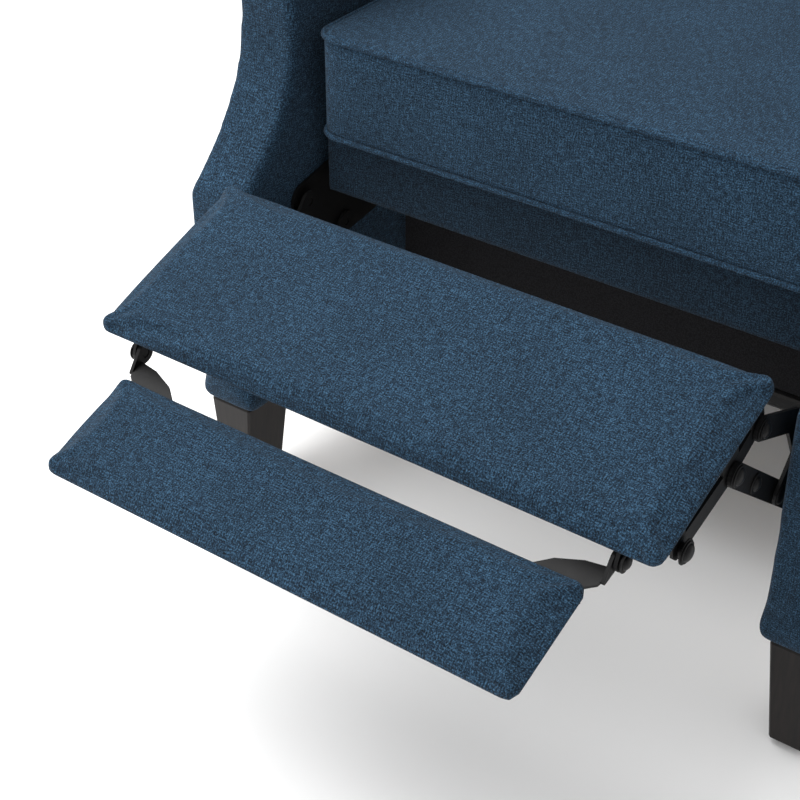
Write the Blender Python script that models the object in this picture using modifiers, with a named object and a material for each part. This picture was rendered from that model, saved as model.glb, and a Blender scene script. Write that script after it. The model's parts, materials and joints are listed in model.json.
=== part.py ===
"""Push-back recliner armchair with a folding two-board footrest, shown with the footrest out.

Metres, +Z up, the chair faces -Y, its left side (a sitter's right hand) is -X.
Working coordinates have y = 0 on the front plane of the arms. The whole chair hangs on one
empty that finally moves it so the origin is under the middle of its bounding box.
"""
import math

import bmesh
import bpy
from mathutils import Matrix, Vector

# Overall sizes
CHAIR_WIDTH = 0.681
ARM_THICKNESS = 0.065
ARM_DEPTH = 0.70
ARM_BOTTOM_Z = 0.12
ARM_TOP_Z = 0.65
ARM_TOE_Z = 0.361        # top of the pointed toe at the arm's front
ARM_SETBACK = 0.086      # the arm's upper front edge stands this far behind the toe
ARM_SWEEP_DROP = 0.14    # from the arm's top down to where the sweep above the toe turns vertical
ARM_SWEEP_PULL = 0.065   # how far below that the sweep is still nearly vertical
ARM_TOE_PULL = (0.045, 0.039)   # the direction in which the sweep leaves the toe
ARM_BOTTOM_CORNER = 0.015
ARM_CREST_RADIUS = 0.045
ARM_HEEL_RADIUS = 0.060
ARM_PANEL_THICKNESS = 0.018
ARM_PADDING = 0.020      # padding between the plywood's edge and the cover's edge
ARM_EDGE_ROUNDING = 0.007

# Legs
LEG_TOP_WIDTH = 0.0495
LEG_BOTTOM_WIDTH = 0.034
LEG_TOP_DEPTH = 0.066
LEG_BOTTOM_DEPTH = 0.052
LEG_SETBACK = 0.010
LEG_OUTSIDE_INSET = 0.005
GLIDE_HEIGHT = 0.004
GLIDE_RADIUS = 0.011

# Seat
SEAT_FRONT_Y = 0.118
SEAT_BACK_INSET = 0.10   # from the arms' back to the seat frame's back
RAIL_BOTTOM_Z = 0.336
RAIL_HEIGHT = 0.055
RAIL_THICKNESS = 0.022
SEAT_TO_LINKS = 0.0017   # from the seat frame's side to the nearest links
SPRING_WIRE = 0.0035
SPRING_COUNT = 4
SPRING_SWING = 0.020
DECK_THICKNESS = 0.003
CUSHION_OVERHANG = 0.023 # the cushion's front stands this far ahead of the seat frame
CUSHION_TUCK = 0.010     # and its back this far behind it
CUSHION_HEIGHT = 0.106
CUSHION_CROWN = 0.018
CUSHION_ROUNDING = 0.016
DUST_COVER_THICKNESS = 0.0015
DUST_DROP_Y = 0.1265     # the dust cover's front drop hangs this far behind the seat's front
DUST_DROP_LENGTH = 0.139

# Linkage, all in the (y, z) plane of each side
FRONT_PIVOT_AT = (-0.0246, -0.0057)            # fixed pivot of the front link, from the front rail
CRANK_LENGTH = 0.097
CRANK_ANGLE = math.radians(-130)
LINK_DIRECTION = Vector((0.774, -0.633))       # both carrier links run this way, down and back
LINK_SPACING = 0.080                           # from the front crank to the parallel rear crank
LOWER_REACH = 0.1202                           # lower link, from the front crank's pin to the footrest
UPPER_PIVOT_AT = (-0.0224, -0.0553)            # middle pivot of the front link, from its fixed pivot
UPPER_KNEE_AT = (-0.026, 0.045)                # where the upper link bends, from its middle pivot
LINK_HALF_WIDTH = 0.0105
LINK_THICKNESS = 0.003
LAYER_GAP = 0.001
RIVET_RADIUS = 0.004
RIVET_HEAD_RADIUS = 0.0065
RIVET_HEAD_THICKNESS = 0.0015
RIVET_CLEARANCE = 0.0005
RIVET_SINK = 0.0006      # a rivet with no head ends this far inside the last plate
CROSS_TUBE_RADIUS = 0.008
CROSS_TUBE_DROP = 0.020  # down the rear crank from its fixed pivot
PLATE_EAR = 0.016        # the fixed plate's edge runs this far round its pivots
PLATE_TOP_INSET = 0.004  # and this far under the top of the seat frame

# Footrest: the main board and the smaller flip-over board ahead of it
FOOTREST_SIDE_CLEARANCE = 0.0105   # from an arm's inner side to the main board
FOOTREST_LENGTH = 0.182
FOOTREST_THICKNESS = 0.015
FOOTREST_BOARD_THICKNESS = 0.007
FOOTREST_TILT = math.radians(18)
FOOTREST_BACK_AT = (0.042, 0.068)  # its top surface's back edge, from the lower link's end
BRACKET_NOSE = 0.040     # from the board's front edge back to the bracket's front end
BRACKET_BAR_HALF_WIDTH = 0.009
BRACKET_FLANGE = 0.022   # how far the bracket's tabs reach in under the board
BRACKET_TABS = (0.020, 0.026, 0.022)   # lengths of the tabs at the nose and at the two pivots
FLIPPER_INSET = 0.0435   # the flipper's ends stand this far inside the main board's
FLIPPER_LENGTH = 0.100
FLIPPER_THICKNESS = 0.013
FLIPPER_BOARD_THICKNESS = 0.006
FLIPPER_GAP = 0.029      # between the two boards' facing edges
FLIPPER_DROP = 0.021     # the flipper's top lies this far below the main board's top
FLIPPER_PIVOT_RISE = 0.0035    # its pivot stands this far above its underside
FLIPPER_PIVOT_BACK = 0.004     # and this far behind the main board's front edge
FLIPPER_EAR_RADIUS = 0.009
FLIPPER_EAR_OUTSET = 0.0055    # inner face of its ears, from the flipper's end
FLIPPER_FLANGE_WIDTH = 0.065
BOARD_INSET = 0.004      # the plywood stands this far inside its pad's edge

# Back
HINGE_AT = (0.055, 0.009)      # back hinge, from the back of the seat frame's underside
BACK_LEAN = math.radians(22)
BACK_HEIGHT = 0.70             # along the back from the hinge
POST_DEPTH = 0.040
POST_WIDTH = 0.025
POST_BEHIND_HINGE = 0.018
BACK_RAIL_HEIGHT = 0.040
BACK_CUSHION_DEPTH = 0.145
BACK_CUSHION_CLEARANCE = 0.026 # between the two cushions' nearest corners
BACK_CUSHION_ROUNDING = 0.022
BACK_CUSHION_CROWN = 0.012
STRAP_THICKNESS = 0.002
STRAP_HEIGHT = 0.060
OUTER_PANEL_THICKNESS = 0.016
WING_THICKNESS = 0.048
WING_ABOVE_ARM = 0.066         # lower edge of a wing's outline, above the arm's top
REAR_PANEL_THICKNESS = 0.018
REAR_PANEL_BELOW_HINGE = 0.083  # room for the back's foot to swing over the rear panel
STRETCHER_Y = 0.30             # from the seat's front back to the stretcher
STRETCHER_THICKNESS = 0.022
STRETCHER_HEIGHT = 0.050
BASE_LIFT = 0.012              # the cross members stand this far above the arms' bottom

GAP = 0.0003             # between pieces that touch
BAR_STEP = 0.00003       # each bar of a bent plate is this much thinner than the one before
SIDES = {"left": -1, "right": 1}

# Worked out from the sizes above
ARM_INNER_X = CHAIR_WIDTH / 2 - ARM_THICKNESS
ARM_SWEEP_Z = ARM_TOP_Z - ARM_SWEEP_DROP
PLATE_X = ARM_INNER_X - GAP - LINK_THICKNESS      # inner face of the fixed mechanism plate
LAYER = LINK_THICKNESS + LAYER_GAP
REAR_LINK_X = PLATE_X - LAYER
FRONT_LINK_X = REAR_LINK_X - LAYER
CARRIER_LINK_X = FRONT_LINK_X - LAYER             # lower and upper links share this layer
BRACKET_X = CARRIER_LINK_X - LAYER
SEAT_HALF_WIDTH = CARRIER_LINK_X - SEAT_TO_LINKS
SEAT_BACK_Y = ARM_DEPTH - SEAT_BACK_INSET
FRONT_PIVOT = Vector((SEAT_FRONT_Y, RAIL_BOTTOM_Z)) + Vector(FRONT_PIVOT_AT)
CRANK = CRANK_LENGTH * Vector((math.cos(CRANK_ANGLE), math.sin(CRANK_ANGLE)))
CRANK_PIN = FRONT_PIVOT + CRANK                   # front crank to lower link
LINK_OFFSET = LINK_SPACING * LINK_DIRECTION
REAR_PIVOT = FRONT_PIVOT + LINK_OFFSET
REAR_PIN = REAR_PIVOT + CRANK                     # rear crank to lower link
LOWER_END = CRANK_PIN - LOWER_REACH * LINK_DIRECTION
UPPER_PIVOT = FRONT_PIVOT + Vector(UPPER_PIVOT_AT)
UPPER_END = LOWER_END + UPPER_PIVOT - CRANK_PIN   # parallel to the lower link
FOOTREST_BACK_EDGE = LOWER_END + Vector(FOOTREST_BACK_AT)
FOOTREST_HALF_WIDTH = ARM_INNER_X - FOOTREST_SIDE_CLEARANCE
FLIPPER_HALF_WIDTH = FOOTREST_HALF_WIDTH - FLIPPER_INSET
FLIPPER_PLATE_X = FLIPPER_HALF_WIDTH + FLIPPER_EAR_OUTSET
LUG_X = FLIPPER_PLATE_X + LAYER
RAIL_TOP_Z = RAIL_BOTTOM_Z + RAIL_HEIGHT
DECK_Z = RAIL_TOP_Z + 2 * GAP + SPRING_WIRE       # underside of the deck cloth
CUSHION_BOTTOM_Z = DECK_Z + DECK_THICKNESS + GAP
CUSHION_TOP_Z = CUSHION_BOTTOM_Z + CUSHION_HEIGHT
HINGE = Vector((SEAT_BACK_Y, RAIL_BOTTOM_Z)) + Vector(HINGE_AT)
BACK_HALF_WIDTH = REAR_LINK_X - GAP
BACK_CUSHION_BACK = POST_BEHIND_HINGE - 2 * GAP - STRAP_THICKNESS
BACK_CUSHION_FRONT = BACK_CUSHION_BACK - BACK_CUSHION_DEPTH
BACK_CUSHION_START = (
    (CUSHION_TOP_Z + BACK_CUSHION_CLEARANCE - HINGE.y + BACK_CUSHION_FRONT * math.sin(BACK_LEAN))
    / math.cos(BACK_LEAN))


# Helpers
def make_collection(name):
    collection = bpy.data.collections.new(name)
    bpy.context.scene.collection.children.link(collection)
    return collection


def make_material(name, color, roughness, metallic=0.0):
    material = bpy.data.materials.new(name)
    material.use_nodes = True
    shader = material.node_tree.nodes["Principled BSDF"]
    shader.inputs["Base Color"].default_value = (*color, 1.0)
    shader.inputs["Roughness"].default_value = roughness
    shader.inputs["Metallic"].default_value = metallic
    return material


def add_frame(name, parent=None, yz=(0.0, 0.0), turn=0.0):
    frame = bpy.data.objects.new(name, None)
    frame.empty_display_size = 0.03
    frame.location = (0.0, yz[0], yz[1])
    frame.rotation_euler = (turn, 0.0, 0.0)
    frame.parent = parent
    chair.objects.link(frame)
    return frame


def add_object(name, mesh, parent, look=None, location=(0.0, 0.0, 0.0)):
    piece = bpy.data.objects.new(name, mesh)
    piece.location = location
    piece.parent = parent
    if look is None:
        cutters.objects.link(piece)
        piece.display_type = "WIRE"
        piece.hide_render = True
    else:
        chair.objects.link(piece)
        mesh.materials.append(find_material(look))
    return piece


def find_material(look):
    if look not in materials:
        materials[look] = make_material(look, *LOOKS[look])
    return materials[look]


def round_edges(piece, width, segments=1, limit=50):
    bevel = piece.modifiers.new("rounded_edges", "BEVEL")
    bevel.width = width
    bevel.segments = segments
    bevel.limit_method = "ANGLE"
    bevel.angle_limit = math.radians(limit)


def combine(piece, other, operation):
    boolean = piece.modifiers.new(operation.lower(), "BOOLEAN")
    boolean.operation = operation
    boolean.solver = "EXACT"
    boolean.object = other


def box_mesh(name, size, cuts=0):
    mesh = bpy.data.meshes.new(name)
    shape = bmesh.new()
    bmesh.ops.create_cube(shape, size=1.0)
    bmesh.ops.scale(shape, vec=size, verts=shape.verts)
    if cuts:
        bmesh.ops.subdivide_edges(shape, edges=shape.edges, cuts=cuts, use_grid_fill=True)
    shape.to_mesh(mesh)
    shape.free()
    return mesh


def add_box(name, low, high, parent, look=None, rounding=0.0, cuts=0):
    low, high = Vector(low), Vector(high)
    mesh = box_mesh(name, high - low, cuts)
    piece = add_object(name, mesh, parent, look, (low + high) / 2)
    if rounding:
        round_edges(piece, rounding)
    return piece


def add_cushion(name, low, high, parent, look, side, crown, rounding):
    """A box whose face on the given side (axis, sign) swells out towards its middle."""
    piece = add_box(name, low, high, parent, look, cuts=3)
    axis, sign = side
    half = (Vector(high) - Vector(low)) / 2
    others = [a for a in range(3) if a != axis]
    for vertex in piece.data.vertices:
        if vertex.co[axis] * sign > half[axis] - GAP:
            rise = [1 - (vertex.co[a] / half[a]) ** 2 for a in others]
            vertex.co[axis] += sign * crown * rise[0] * rise[1]
    round_edges(piece, rounding, segments=2)
    return piece


def arc(centre, radius, start, end, steps=4):
    """Points from one angle to another, in degrees."""
    turns = [math.radians(start + (end - start) * i / steps) for i in range(steps + 1)]
    return [Vector(centre) + radius * Vector((math.cos(t), math.sin(t))) for t in turns]


def circle(centre, radius, sides=12):
    return arc(centre, radius, 0, 360 * (sides - 1) / sides, sides - 1)


def hull(circles, sides=16):
    """Convex outline that wraps round circles given as (centre, radius)."""
    points = [p for centre, radius in circles for p in circle(centre, radius, sides)]
    points = sorted((round(p.x, 6), round(p.y, 6)) for p in points)

    def half_hull(ordered):
        chain = []
        for p in ordered:
            while len(chain) > 1:
                (ax, ay), (bx, by) = chain[-2:]
                if (bx - ax) * (p[1] - ay) - (by - ay) * (p[0] - ax) > 1e-9:
                    break
                chain.pop()
            chain.append(p)
        return chain[:-1]

    return [Vector(p) for p in half_hull(points) + half_hull(points[::-1])]


def add_plate(name, outline, x_low, x_high, parent, look=None, holes=()):
    """A flat plate lying in the (y, z) plane, between two x values, with round holes."""
    curve = bpy.data.curves.new(name, "CURVE")
    curve.dimensions = "2D"
    curve.fill_mode = "BOTH"
    curve.extrude = abs(x_high - x_low) / 2
    for points in [outline, *holes]:
        spline = curve.splines.new("POLY")
        spline.points.add(len(points) - 1)
        for target, point in zip(spline.points, points):
            target.co = (point[0], point[1], 0.0, 1.0)
        spline.use_cyclic_u = True
    outline_object = bpy.data.objects.new(name + "_outline", curve)
    bpy.context.scene.collection.objects.link(outline_object)
    solid = outline_object.evaluated_get(bpy.context.evaluated_depsgraph_get())
    mesh = bpy.data.meshes.new_from_object(solid)
    bpy.data.objects.remove(outline_object)
    mesh.name = name
    lay_flat = Matrix(((0, 0, 1, 0), (1, 0, 0, 0), (0, 1, 0, 0), (0, 0, 0, 1)))
    mesh.transform(lay_flat)
    shape = bmesh.new()
    shape.from_mesh(mesh)
    bmesh.ops.remove_doubles(shape, verts=shape.verts, dist=0.00001)
    bmesh.ops.recalc_face_normals(shape, faces=shape.faces)
    shape.to_mesh(mesh)
    shape.free()
    return add_object(name, mesh, parent, look, ((x_low + x_high) / 2, 0.0, 0.0))


def add_flat_plate(name, outline, z_low, z_high, parent, look=None):
    """A plate lying flat, its (x, y) outline drawn round between two heights."""
    mesh = bpy.data.meshes.new(name)
    shape = bmesh.new()
    corners = [shape.verts.new((x, y, z_low)) for x, y in outline]
    base = shape.faces.new(corners)
    walls = bmesh.ops.extrude_face_region(shape, geom=[base])
    raised = [item for item in walls["geom"] if isinstance(item, bmesh.types.BMVert)]
    bmesh.ops.translate(shape, vec=(0.0, 0.0, z_high - z_low), verts=raised)
    bmesh.ops.triangulate(shape, faces=[face for face in shape.faces if len(face.verts) > 4])
    bmesh.ops.recalc_face_normals(shape, faces=shape.faces)
    shape.to_mesh(mesh)
    shape.free()
    return add_object(name, mesh, parent, look)


def add_rod(name, yz, radius, x_low, x_high, parent, look=None, sides=12):
    """A round bar along X."""
    mesh = bpy.data.meshes.new(name)
    shape = bmesh.new()
    bmesh.ops.create_cone(
        shape, cap_ends=True, segments=sides, radius1=radius, radius2=radius,
        depth=abs(x_high - x_low), matrix=Matrix.Rotation(math.pi / 2, 4, "Y"))
    shape.to_mesh(mesh)
    shape.free()
    return add_object(name, mesh, parent, look, ((x_low + x_high) / 2, yz[0], yz[1]))


def add_rivet(piece, yz, side, plate_x, end_x, head=True):
    """Unite a piece with a rivet that runs inward from its plate, past end_x, to a flat head."""
    name = f"{piece.name}_rivet_{len(piece.modifiers)}"
    root_x = plate_x + LINK_THICKNESS / 2
    tip_x = end_x - LAYER_GAP / 2 if head else end_x
    shank = add_rod(name, yz, RIVET_RADIUS, side * tip_x, side * root_x, piece.parent)
    combine(piece, shank, "UNION")
    if head:
        head_x = tip_x - RIVET_HEAD_THICKNESS
        cap = add_rod(name + "_head", yz, RIVET_HEAD_RADIUS, side * head_x, side * tip_x,
                      piece.parent)
        cap.scale.x = 1.02
        combine(piece, cap, "UNION")


def pivot_hole(yz):
    return circle(yz, RIVET_RADIUS + RIVET_CLEARANCE)


def add_link(name, pivots, plate_x, side, parent, holes):
    outline = hull([(p, LINK_HALF_WIDTH) for p in pivots])
    x = side * plate_x, side * (plate_x + LINK_THICKNESS)
    return add_plate(name, outline, *x, parent, "black_steel", [pivot_hole(p) for p in holes])


def add_bent_plate(name, bars, x_low, x_high, parent, holes):
    """A steel plate made of overlapping bars, each wrapped round circles, with pivot holes."""
    plate = add_plate(name, hull(bars[0]), x_low, x_high, parent, "black_steel")
    for number, bar in enumerate(bars[1:], 1):
        inset = math.copysign(number * BAR_STEP, x_high - x_low)
        other = add_plate(f"{name}_bar_{number}", hull(bar), x_low + inset, x_high - inset, parent)
        combine(plate, other, "UNION")
    middle = (x_low + x_high) / 2
    for number, point in enumerate(holes, 1):
        drill = add_rod(f"{name}_drill_{number}", point, RIVET_RADIUS + RIVET_CLEARANCE,
                        middle - LINK_THICKNESS, middle + LINK_THICKNESS, parent)
        combine(plate, drill, "DIFFERENCE")
    return plate


# Arms and legs
def arm_outline(inset=0.0, below=0.0):
    """Side view of an arm, drawn in by inset except at the bottom, which can reach lower."""
    bottom = ARM_BOTTOM_Z - below
    back = ARM_DEPTH - inset
    top = ARM_TOP_Z - inset
    front = ARM_SETBACK + inset
    toe = Vector((inset, ARM_TOE_Z - inset))
    corner = ARM_BOTTOM_CORNER
    crest = ARM_CREST_RADIUS
    heel = ARM_HEEL_RADIUS
    points = arc((inset + corner, bottom + corner), corner, 270, 180, 3)
    sweep_top = Vector((front, ARM_SWEEP_Z))
    ends = toe, toe + Vector(ARM_TOE_PULL), sweep_top - Vector((0.0, ARM_SWEEP_PULL)), sweep_top
    for step in range(9):
        t = step / 8
        weights = (1 - t) ** 3, 3 * t * (1 - t) ** 2, 3 * t * t * (1 - t), t ** 3
        points.append(sum((w * p for w, p in zip(weights, ends)), Vector((0.0, 0.0))))
    points += arc((front + crest, top - crest), crest, 180, 90)
    points += arc((back - heel, top - heel), heel, 90, 0)
    points += arc((back - corner, bottom + corner), corner, 0, -90, 3)
    return points


def build_arms(base):
    for name, side in SIDES.items():
        outer = side * CHAIR_WIDTH / 2
        inner = side * ARM_INNER_X
        middle = (outer + inner) / 2
        half = ARM_PANEL_THICKNESS / 2
        cover = add_plate(f"arm_cover_{name}", arm_outline(), inner, outer, base, "upholstery")
        round_edges(cover, ARM_EDGE_ROUNDING, segments=2, limit=60)
        slot = add_plate(f"arm_slot_{name}", arm_outline(ARM_PADDING - GAP, 0.02),
                         middle - half - GAP, middle + half + GAP, base)
        combine(cover, slot, "DIFFERENCE")
        add_plate(f"arm_panel_{name}", arm_outline(ARM_PADDING),
                  middle - half, middle + half, base, "plywood")


def build_legs(base):
    top = ARM_BOTTOM_Z - GAP
    middle_x = CHAIR_WIDTH / 2 - LEG_OUTSIDE_INSET - LEG_TOP_WIDTH / 2
    reach = LEG_SETBACK + LEG_TOP_DEPTH / 2
    for end, y in (("front", reach), ("rear", ARM_DEPTH - reach)):
        for name, side in SIDES.items():
            low = side * middle_x - LEG_TOP_WIDTH / 2, y - LEG_TOP_DEPTH / 2, GLIDE_HEIGHT + GAP
            high = side * middle_x + LEG_TOP_WIDTH / 2, y + LEG_TOP_DEPTH / 2, top
            leg = add_box(f"leg_{end}_{name}", low, high, base, "espresso_wood", rounding=0.002)
            for vertex in leg.data.vertices:
                if vertex.co.z < 0:
                    vertex.co.x *= LEG_BOTTOM_WIDTH / LEG_TOP_WIDTH
                    vertex.co.y *= LEG_BOTTOM_DEPTH / LEG_TOP_DEPTH
                    vertex.co.x += side * (LEG_TOP_WIDTH - LEG_BOTTOM_WIDTH) / 4
            foot_x = side * (middle_x + (LEG_TOP_WIDTH - LEG_BOTTOM_WIDTH) / 4)
            mesh = bpy.data.meshes.new("glide")
            shape = bmesh.new()
            bmesh.ops.create_cone(shape, cap_ends=True, segments=16, radius1=GLIDE_RADIUS,
                                  radius2=GLIDE_RADIUS, depth=GLIDE_HEIGHT)
            shape.to_mesh(mesh)
            shape.free()
            add_object(f"glide_{end}_{name}", mesh, base, "nylon", (foot_x, y, GLIDE_HEIGHT / 2))


def build_cross_members(base):
    span = ARM_INNER_X - GAP
    front = SEAT_FRONT_Y + STRETCHER_Y
    bottom = ARM_BOTTOM_Z + BASE_LIFT
    add_box("base_stretcher", (-span, front, bottom),
            (span, front + STRETCHER_THICKNESS, bottom + STRETCHER_HEIGHT), base, "plywood")
    back = ARM_DEPTH - 0.008
    add_box("rear_panel", (-span, back - REAR_PANEL_THICKNESS, bottom),
            (span, back, HINGE.y - REAR_PANEL_BELOW_HINGE), base, "upholstery", rounding=0.004)


# Seat
def build_seat(base):
    half = SEAT_HALF_WIDTH
    inside = half - RAIL_THICKNESS
    for name, side in SIDES.items():
        xs = sorted((side * inside, side * half))
        add_box(f"seat_side_rail_{name}", (xs[0], SEAT_FRONT_Y, RAIL_BOTTOM_Z),
                (xs[1], SEAT_BACK_Y, RAIL_TOP_Z), base, "plywood")
        xs = sorted((side * (half + GAP), side * (PLATE_X - GAP)))
        add_box(f"seat_hanger_{name}", (xs[0], SEAT_FRONT_Y + 0.15, RAIL_BOTTOM_Z + 0.008),
                (xs[1], SEAT_BACK_Y - 0.04, RAIL_TOP_Z - 0.010), base, "black_steel")
    across = inside - GAP
    for name, y in (("front", SEAT_FRONT_Y), ("rear", SEAT_BACK_Y - RAIL_THICKNESS)):
        add_box(f"seat_{name}_rail", (-across, y, RAIL_BOTTOM_Z),
                (across, y + RAIL_THICKNESS, RAIL_TOP_Z), base, "plywood")
    for number in range(SPRING_COUNT):
        pitch = 2 * across / SPRING_COUNT
        build_spring(base, number + 1, -across + pitch * (number + 0.5))
    top = add_box("seat_deck", (-half, SEAT_FRONT_Y - GAP - DECK_THICKNESS, DECK_Z),
                  (half, SEAT_BACK_Y, DECK_Z + DECK_THICKNESS), base, "upholstery")
    apron = add_box("deck_apron", (-half, SEAT_FRONT_Y - GAP - DECK_THICKNESS, RAIL_BOTTOM_Z),
                    (half, SEAT_FRONT_Y - GAP, DECK_Z + DECK_THICKNESS / 2), base)
    combine(top, apron, "UNION")
    cushion_half = half - 0.003
    add_cushion("seat_cushion", (-cushion_half, SEAT_FRONT_Y - CUSHION_OVERHANG, CUSHION_BOTTOM_Z),
                (cushion_half, SEAT_BACK_Y + CUSHION_TUCK, CUSHION_TOP_Z), base,
                "upholstery", (2, 1), CUSHION_CROWN, CUSHION_ROUNDING)
    build_dust_cover(base)


def build_dust_cover(base):
    """Black cloth stapled under the seat frame, with a drop that hides the folded mechanism."""
    top = RAIL_BOTTOM_Z - GAP
    under = top - DUST_COVER_THICKNESS
    cover = add_box("dust_cover", (-SEAT_HALF_WIDTH, SEAT_FRONT_Y + RAIL_THICKNESS, under),
                    (SEAT_HALF_WIDTH, SEAT_BACK_Y, top), base, "dust_cloth")
    back = SEAT_FRONT_Y + DUST_DROP_Y + DUST_COVER_THICKNESS
    drop = add_box("dust_drop", (-SEAT_HALF_WIDTH, SEAT_FRONT_Y + DUST_DROP_Y, top - DUST_DROP_LENGTH),
                   (SEAT_HALF_WIDTH, back, top - DUST_COVER_THICKNESS / 2), base)
    combine(cover, drop, "UNION")


def build_spring(base, number, x):
    """A sinuous spring: one wire that winds from the front rail to the rear rail."""
    start = SEAT_FRONT_Y + 0.006
    end = SEAT_BACK_Y - 0.006
    bends = 9
    steps = 4 * bends
    curve = bpy.data.curves.new("spring", "CURVE")
    curve.dimensions = "3D"
    curve.bevel_depth = SPRING_WIRE / 2
    curve.bevel_resolution = 1
    curve.use_fill_caps = True
    spline = curve.splines.new("POLY")
    spline.points.add(steps)
    for step, point in enumerate(spline.points):
        share = step / steps
        swing = math.copysign(SPRING_SWING, x) * math.sin(math.pi * bends * share)
        point.co = (swing, start + (end - start) * share, 0.0, 1.0)
    add_object(f"seat_spring_{number}", curve, base, "spring_steel",
               (x, 0.0, RAIL_TOP_Z + GAP + SPRING_WIRE / 2))


# Footrest mechanism
def build_fixed_plates(base):
    span = SEAT_BACK_Y - SEAT_FRONT_Y
    radius = 0.02
    top = RAIL_TOP_Z - PLATE_TOP_INSET - radius
    corners = [(pivot, PLATE_EAR) for pivot in (FRONT_PIVOT, REAR_PIVOT, HINGE)]
    corners += [(Vector((SEAT_FRONT_Y + share * span, top)), radius) for share in (0.4, 0.92)]
    for name, side in SIDES.items():
        plate = add_plate(f"mechanism_plate_{name}", hull(corners), side * PLATE_X,
                          side * (PLATE_X + LINK_THICKNESS), base, "black_steel")
        add_rivet(plate, FRONT_PIVOT, side, PLATE_X, FRONT_LINK_X + RIVET_SINK, head=False)
        add_rivet(plate, REAR_PIVOT, side, PLATE_X, REAR_LINK_X + RIVET_SINK, head=False)
        add_rivet(plate, HINGE, side, PLATE_X, REAR_LINK_X + RIVET_SINK, head=False)


def build_links(base):
    """Front and rear cranks turn on the base; two parallel links carry the footrest."""
    front = add_frame("front_links_pivot", base, FRONT_PIVOT)
    rear = add_frame("rear_links_pivot", base, REAR_PIVOT)
    lower = add_frame("lower_links_pivot", front, CRANK_PIN - FRONT_PIVOT)
    upper = add_frame("upper_links_pivot", front, UPPER_PIVOT - FRONT_PIVOT)
    origin = Vector((0.0, 0.0))
    tube_at = CROSS_TUBE_DROP * CRANK.normalized()
    for name, side in SIDES.items():
        middle = UPPER_PIVOT - FRONT_PIVOT
        link = add_link(f"front_link_{name}", [origin, middle, CRANK], FRONT_LINK_X, side, front,
                        [origin])
        add_rivet(link, CRANK, side, FRONT_LINK_X, CARRIER_LINK_X)
        add_rivet(link, middle, side, FRONT_LINK_X, CARRIER_LINK_X)
        link = add_link(f"rear_link_{name}", [origin, CRANK], REAR_LINK_X, side, rear, [origin])
        add_rivet(link, CRANK, side, REAR_LINK_X, CARRIER_LINK_X)
        front_end = LOWER_END - CRANK_PIN
        back_end = REAR_PIN - CRANK_PIN
        link = add_link(f"lower_link_{name}", [front_end, back_end], CARRIER_LINK_X, side, lower,
                        [origin, back_end])
        add_rivet(link, front_end, side, CARRIER_LINK_X, BRACKET_X)
        upper_end = UPPER_END - UPPER_PIVOT
        knee = Vector(UPPER_KNEE_AT)
        bars = [[(upper_end, LINK_HALF_WIDTH), (knee, LINK_HALF_WIDTH)],
                [(knee, LINK_HALF_WIDTH + LAYER_GAP / 2), (origin, LINK_HALF_WIDTH)]]
        link = add_bent_plate(f"upper_link_{name}", bars, side * CARRIER_LINK_X,
                              side * (CARRIER_LINK_X + LINK_THICKNESS), upper, [origin])
        add_rivet(link, upper_end, side, CARRIER_LINK_X, BRACKET_X)
    reach = REAR_LINK_X - GAP
    add_rod("cross_tube", tube_at, CROSS_TUBE_RADIUS, -reach, reach, rear, "black_steel", 16)
    return lower


def board_point(point):
    """A chair (y, z) point in the main board's frame: y runs back, z is up from its top face."""
    offset = Vector(point) - FOOTREST_BACK_EDGE
    back = Vector((math.cos(FOOTREST_TILT), math.sin(FOOTREST_TILT)))
    up = Vector((-math.sin(FOOTREST_TILT), math.cos(FOOTREST_TILT)))
    return Vector((offset.dot(back), offset.dot(up)))


def build_footrest(lower):
    joint = add_frame("footrest_pivot", lower, LOWER_END - CRANK_PIN)
    board = add_frame("footrest_board_frame", joint, FOOTREST_BACK_EDGE - LOWER_END, FOOTREST_TILT)
    half = FOOTREST_HALF_WIDTH
    underside = -FOOTREST_THICKNESS
    board_top = underside + FOOTREST_BOARD_THICKNESS
    edge = BOARD_INSET
    add_box("footrest_board", (edge - half, edge - FOOTREST_LENGTH, underside),
            (half - edge, -edge, board_top), board, "plywood")
    pad = add_box("footrest_pad", (-half, -FOOTREST_LENGTH, board_top + GAP), (half, 0.0, 0.0),
                  board, "upholstery")
    round_edges(pad, 0.003, segments=2)
    for name, side in SIDES.items():
        build_footrest_bracket(board, name, side, underside - GAP)
    build_flipper(board, underside - GAP)


def build_footrest_bracket(board, name, side, top):
    """A bar that joins the two carrier links, held off the board by three bent tabs."""
    lower_end, upper_end = board_point(LOWER_END), board_point(UPPER_END)
    nose = Vector((BRACKET_NOSE - FOOTREST_LENGTH, upper_end.y))
    points = nose, lower_end, upper_end
    radius = BRACKET_BAR_HALF_WIDTH
    bars = [[(p, radius) for p in points[:2]], [(lower_end, LINK_HALF_WIDTH)],
            [(p, radius) for p in points[1:]], [(upper_end, LINK_HALF_WIDTH)]]
    tip = RIVET_HEAD_THICKNESS
    for point, length in zip(points, BRACKET_TABS):
        reach = length / 2 - tip
        bars.append([(Vector((point.x + y, z)), tip)
                     for y in (-reach, reach) for z in (top - tip - GAP, point.y)])
    bracket = add_bent_plate(f"footrest_bracket_{name}", bars, side * BRACKET_X,
                             side * (BRACKET_X + LINK_THICKNESS), board, points[1:])
    xs = sorted((side * (BRACKET_X - BRACKET_FLANGE), side * (BRACKET_X + LINK_THICKNESS / 2)))
    for number, (point, length) in enumerate(zip(points, BRACKET_TABS), 1):
        tab = add_box(f"bracket_tab_{name}_{number}",
                      (xs[0], point.x - length / 2 + GAP, top - LINK_THICKNESS),
                      (xs[1], point.x + length / 2 - GAP, top), board)
        combine(bracket, tab, "UNION")


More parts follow.
